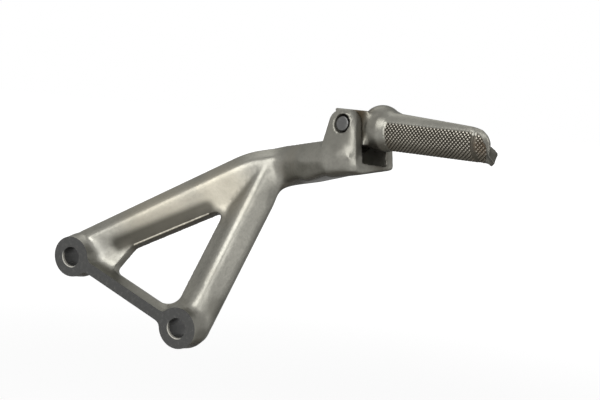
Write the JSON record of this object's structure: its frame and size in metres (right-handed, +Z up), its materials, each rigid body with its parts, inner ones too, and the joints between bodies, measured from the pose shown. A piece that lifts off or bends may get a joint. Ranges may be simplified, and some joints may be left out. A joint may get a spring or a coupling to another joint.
{
  "type": "motorbike passenger footpeg with bracket",
  "caption": "Folding passenger footpeg with a knurled grip, pinned in the clevis of a cast wishbone bracket that bolts on through bosses joined by a bar.",
  "frame": {"origin": "on the machined mounting face, midway between the bolt holes", "axes": "+Z up, +X the way the peg points when unfolded, -Y out of the mounting face; the line of the bolt holes falls 22 degrees from level towards +X"},
  "size_m": [0.2441, 0.0593, 0.1385],
  "materials": {
    "cast_aluminium": "satin, bead-blasted casting",
    "peg_aluminium": "satin, with a diamond knurl",
    "pin_steel": "dark, lightly worn",
    "washer_steel": "zinc plated",
    "clip_steel": "dark spring steel",
    "detent_steel": "polished"
  },
  "bodies": {
    "bracket": {"bracket": "cast_aluminium", "hinge_pin": "pin_steel", "pin_washer": "washer_steel", "retaining_clip": "clip_steel"},
    "footpeg": {"footpeg": "peg_aluminium", "detent_ball": "detent_steel", "detent_spring": "detent_steel"}
  },
  "joints": [
    {"name": "footpeg_fold", "type": "hinge", "parent": "bracket", "child": "footpeg", "pos_m": [0.1186, 0.0326, 0.0992], "axis": [-0.24, -0.9648, 0.1075], "range_deg": [0, 82]}
  ]
}
